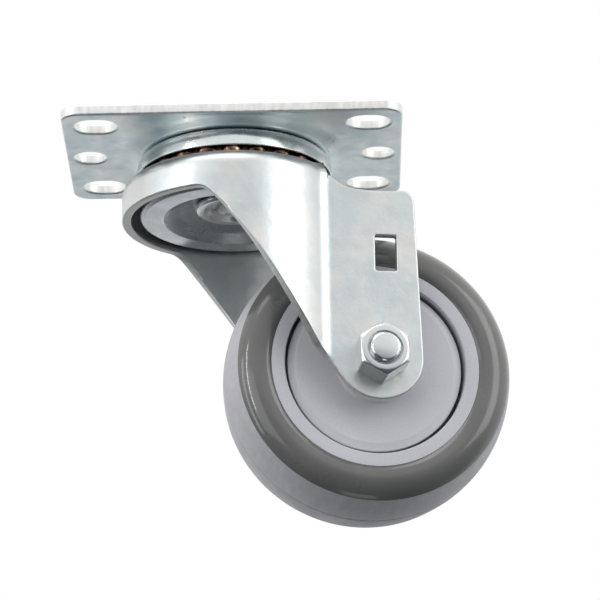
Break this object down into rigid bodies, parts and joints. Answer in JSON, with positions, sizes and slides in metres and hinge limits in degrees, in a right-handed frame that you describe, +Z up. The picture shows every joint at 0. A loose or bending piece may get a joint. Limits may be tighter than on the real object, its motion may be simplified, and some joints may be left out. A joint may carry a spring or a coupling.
{
  "type": "swivel plate caster",
  "caption": "Swivel caster with a rectangular slotted top plate, ball-race swivel, pressed steel fork and a grey wheel turning on a bolt.",
  "frame": {"origin": "on the swivel axis, in the plane of the plate's top face", "axes": "+X along the plate's long side, which the fork trails towards at rest, +Y across the plate, +Z up out of the plate's top face"},
  "size_m": [0.1189, 0.0666, 0.1057],
  "materials": {
    "zinc_plate": "bright zinc-plated pressed steel",
    "zinc_fastener": "bright zinc-plated steel",
    "bearing_steel": "ground steel",
    "ball_steel": "polished steel balls in amber grease",
    "grey_plastic": "matte light grey moulded plastic",
    "tread_grey": "glossy dark grey polyurethane"
  },
  "bodies": {
    "plate": {"top_plate": "zinc_plate", "upper_race_ring": "zinc_plate", "kingpin": "zinc_plate", "lower_race_cup": "zinc_plate"},
    "upper_ball_row": {"upper_ball_01": "ball_steel", "upper_ball_02": "ball_steel", "upper_ball_03": "ball_steel", "upper_ball_04": "ball_steel", "upper_ball_05": "ball_steel", "upper_ball_06": "ball_steel", "upper_ball_07": "ball_steel", "upper_ball_08": "ball_steel", "upper_ball_09": "ball_steel", "upper_ball_10": "ball_steel", "upper_ball_11": "ball_steel", "upper_ball_12": "ball_steel", "upper_ball_13": "ball_steel", "upper_ball_14": "ball_steel", "upper_ball_15": "ball_steel", "upper_ball_16": "ball_steel", "upper_ball_17": "ball_steel", "upper_ball_18": "ball_steel", "upper_ball_19": "ball_steel", "upper_ball_20": "ball_steel", "upper_ball_21": "ball_steel", "upper_ball_22": "ball_steel"},
    "lower_ball_row": {"lower_ball_row": "ball_steel"},
    "fork": {"fork": "zinc_plate", "axle_bolt": "zinc_fastener", "axle_nut": "zinc_fastener", "axle_spacer": "bearing_steel", "thread_guard_near": "grey_plastic", "thread_guard_far": "grey_plastic", "bearing_inner_ring_near": "bearing_steel", "bearing_inner_ring_far": "bearing_steel"},
    "wheel_bearing_balls": {"bearing_ball_cage_near": "ball_steel", "bearing_ball_cage_far": "ball_steel"},
    "wheel": {"wheel_core": "grey_plastic", "wheel_tread": "tread_grey", "bearing_outer_ring_near": "bearing_steel", "bearing_outer_ring_far": "bearing_steel"}
  },
  "joints": [
    {"name": "swivel", "type": "hinge", "parent": "plate", "child": "fork", "pos_m": [0, 0, 0], "axis": [0, 0, 1], "continuous": true},
    {"name": "upper_ball_orbit", "type": "hinge", "parent": "plate", "child": "upper_ball_row", "pos_m": [0, 0, 0], "axis": [0, 0, 1], "continuous": true},
    {"name": "lower_ball_orbit", "type": "hinge", "parent": "plate", "child": "lower_ball_row", "pos_m": [0, 0, 0], "axis": [0, 0, 1], "continuous": true},
    {"name": "wheel_spin", "type": "hinge", "parent": "fork", "child": "wheel", "pos_m": [0.03473, 0.00575, -0.06733], "axis": [-0.1633, 0.9866, 0], "continuous": true},
    {"name": "bearing_ball_orbit", "type": "hinge", "parent": "fork", "child": "wheel_bearing_balls", "pos_m": [0.03473, 0.00575, -0.06733], "axis": [-0.1633, 0.9866, 0], "continuous": true}
  ],
  "couplings": [
    {"joint": "upper_ball_orbit", "follows": "swivel", "ratio": 0.5},
    {"joint": "lower_ball_orbit", "follows": "swivel", "ratio": 0.5},
    {"joint": "bearing_ball_orbit", "follows": "wheel_spin", "ratio": 0.6267}
  ]
}
